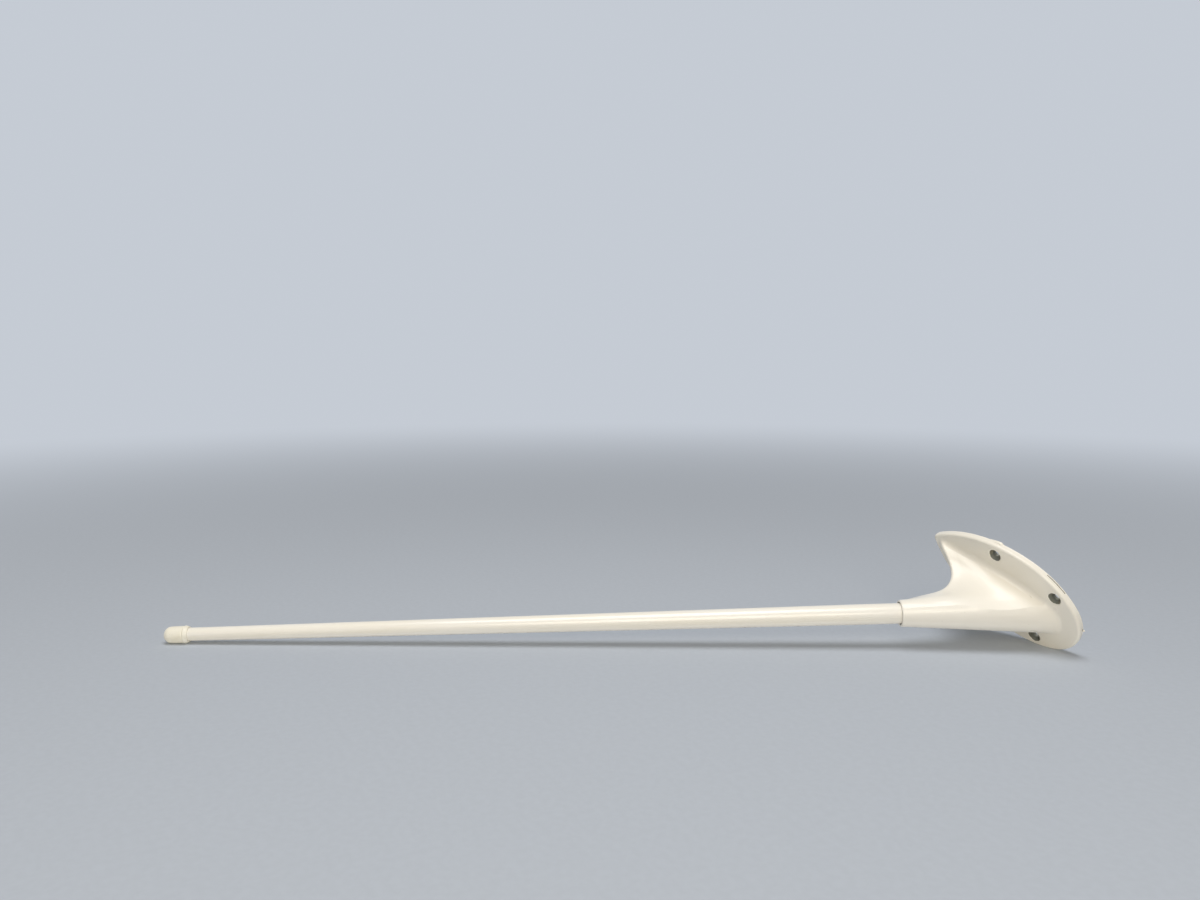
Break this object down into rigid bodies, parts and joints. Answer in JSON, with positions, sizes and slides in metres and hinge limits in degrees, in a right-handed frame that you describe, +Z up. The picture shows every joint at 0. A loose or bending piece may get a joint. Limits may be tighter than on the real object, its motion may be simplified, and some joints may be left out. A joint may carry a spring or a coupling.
{
  "type": "aircraft radio antenna",
  "caption": "Raked whip radio antenna for an aircraft: white fairing with a teardrop screw flange, tapered whip with a tip cap, and a bayonet coax connector underneath.",
  "frame": {"origin": "centre of the square of four screw holes, on the face that lies on the skin", "axes": "+X aft, towards the whip's tip; +Y starboard; +Z up off the skin"},
  "size_m": [0.3947, 0.0684, 0.4681],
  "materials": {
    "enamel_white": "glossy white enamel over a moulded body",
    "plate_metal": "bare satin metal",
    "whip_white": "glossy white enamel over glass fibre",
    "cap_cream": "satin moulded plastic",
    "seal_rubber": "matte",
    "socket_brass": "turned",
    "copper": "drawn",
    "board_laminate": "glass-fibre laminate",
    "ferrite": "matte",
    "capacitor_body": "dipped",
    "connector_nickel": "nickel plate",
    "insulator_white": "waxy",
    "contact_gold": "gold flash"
  },
  "bodies": {
    "root": {"fairing": "enamel_white", "base_plate": "plate_metal", "whip_tube": "whip_white", "tip_cap": "cap_cream", "whip_seal": "seal_rubber", "whip_socket": "socket_brass", "radiator_rod": "copper", "feed_wire": "copper", "matching_board": "board_laminate", "board_post_fore": "plate_metal", "board_post_aft": "plate_metal", "toroid_core": "ferrite", "toroid_winding": "copper", "capacitor_port": "capacitor_body", "capacitor_starboard": "capacitor_body", "coax_shell": "connector_nickel", "coax_insulator": "insulator_white", "coax_contact": "contact_gold", "lock_washer": "connector_nickel", "coax_nut": "connector_nickel"}
  },
  "joints": []
}
